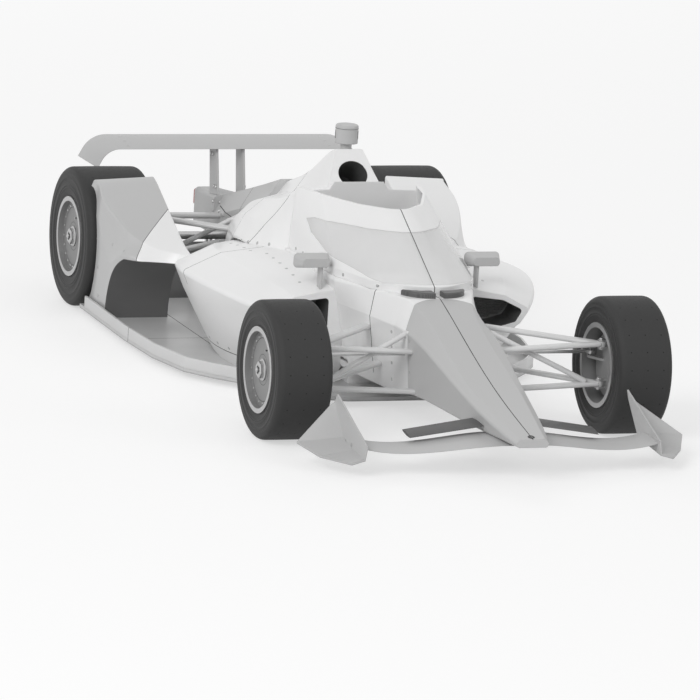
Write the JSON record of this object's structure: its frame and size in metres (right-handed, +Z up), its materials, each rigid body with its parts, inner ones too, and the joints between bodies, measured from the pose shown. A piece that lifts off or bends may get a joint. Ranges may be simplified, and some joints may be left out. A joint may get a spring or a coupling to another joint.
{
  "type": "open wheel racing car",
  "caption": "Open wheel single seater with a wraparound screen, swept front wing, sidepods, rear wheel fairings and a low rear wing; wheels roll and the front pair steers.",
  "frame": {"origin": "on the ground under the middle of the overall length and width", "axes": "+X forward to the nose tip, +Y to the car's left, +Z up"},
  "size_m": [4.9, 1.985, 1.177],
  "materials": {
    "white_paint": "gloss",
    "grey_paint": "gloss",
    "screen_glass": "gloss",
    "dark_composite": "satin",
    "pale_composite": "satin",
    "cast_metal": "cast",
    "steel": "satin",
    "lamp_plastic": "gloss",
    "arm_paint": "satin",
    "padding": "matt",
    "wheel_alloy": "satin",
    "tyre": "matt"
  },
  "bodies": {
    "chassis": {"monocoque": "white_paint", "nose_cone": "grey_paint", "screen_frame": "white_paint", "screen_glass": "screen_glass", "screen_vents": "dark_composite", "engine_cover": "white_paint", "camera_pod": "grey_paint", "engine_block": "cast_metal", "gearbox": "grey_paint", "attenuator": "grey_paint", "rear_light": "lamp_plastic", "tow_eye": "steel", "exhaust_pipes": "steel", "sidepod_left": "white_paint", "sidepod_right": "white_paint", "radiators": "cast_metal", "floor_plate": "pale_composite", "floor_fences": "pale_composite", "diffuser": "dark_composite", "wheel_pod_left": "white_paint", "wheel_pod_right": "white_paint", "front_wing": "grey_paint", "wing_flaps": "dark_composite", "wing_endplates": "grey_paint", "rear_wing": "grey_paint", "wing_pylons": "grey_paint", "mirrors": "grey_paint", "headrest": "padding", "seat": "padding", "dashboard": "dark_composite", "front_upper_arms": "arm_paint", "front_lower_arms": "arm_paint", "front_pushrods": "arm_paint", "rear_upper_arms": "arm_paint", "rear_lower_arms": "arm_paint", "rear_pushrods": "arm_paint", "driveshafts": "steel", "rear_uprights": "cast_metal"},
    "front_left_upright": {"front_upright_left": "cast_metal"},
    "front_right_upright": {"front_upright_right": "cast_metal"},
    "steering_rack": {"track_rods": "steel"},
    "steering_wheel": {"steering_wheel": "dark_composite"},
    "front_left_wheel": {"front_left_rim": "wheel_alloy", "front_left_tyre": "tyre"},
    "front_right_wheel": {"front_right_rim": "wheel_alloy", "front_right_tyre": "tyre"},
    "rear_left_wheel": {"rear_left_rim": "wheel_alloy", "rear_left_tyre": "tyre"},
    "rear_right_wheel": {"rear_right_rim": "wheel_alloy", "rear_right_tyre": "tyre"}
  },
  "joints": [
    {"name": "front_left_steer", "type": "hinge", "parent": "chassis", "child": "front_left_upright", "pos_m": [1.4, 0.735, 0.334], "axis": [0, 0, 1], "range_deg": [-15, 15]},
    {"name": "front_right_steer", "type": "hinge", "parent": "chassis", "child": "front_right_upright", "pos_m": [1.4, -0.735, 0.334], "axis": [0, 0, 1], "range_deg": [-15, 15]},
    {"name": "rack_slide", "type": "slide", "parent": "chassis", "child": "steering_rack", "axis": [0, 1, 0], "range_m": [-0.0345, 0.0345]},
    {"name": "steering_wheel_turn", "type": "hinge", "parent": "chassis", "child": "steering_wheel", "pos_m": [0.5, 0, 0.53], "axis": [-0.9613, 0, 0.2756], "range_deg": [-121, 121]},
    {"name": "front_left_spin", "type": "hinge", "parent": "front_left_upright", "child": "front_left_wheel", "pos_m": [1.4, 0.847, 0.3275], "axis": [0, 1, 0], "continuous": true},
    {"name": "front_right_spin", "type": "hinge", "parent": "front_right_upright", "child": "front_right_wheel", "pos_m": [1.4, -0.847, 0.3275], "axis": [0, 1, 0], "continuous": true},
    {"name": "rear_left_spin", "type": "hinge", "parent": "chassis", "child": "rear_left_wheel", "pos_m": [-1.6, 0.8075, 0.3555], "axis": [0, 1, 0], "continuous": true},
    {"name": "rear_right_spin", "type": "hinge", "parent": "chassis", "child": "rear_right_wheel", "pos_m": [-1.6, -0.8075, 0.3555], "axis": [0, 1, 0], "continuous": true}
  ],
  "couplings": [
    {"joint": "front_left_steer", "follows": "front_right_steer", "ratio": 1},
    {"joint": "rack_slide", "follows": "front_right_steer", "m_per_rad": -0.13},
    {"joint": "steering_wheel_turn", "follows": "front_right_steer", "ratio": 8}
  ]
}
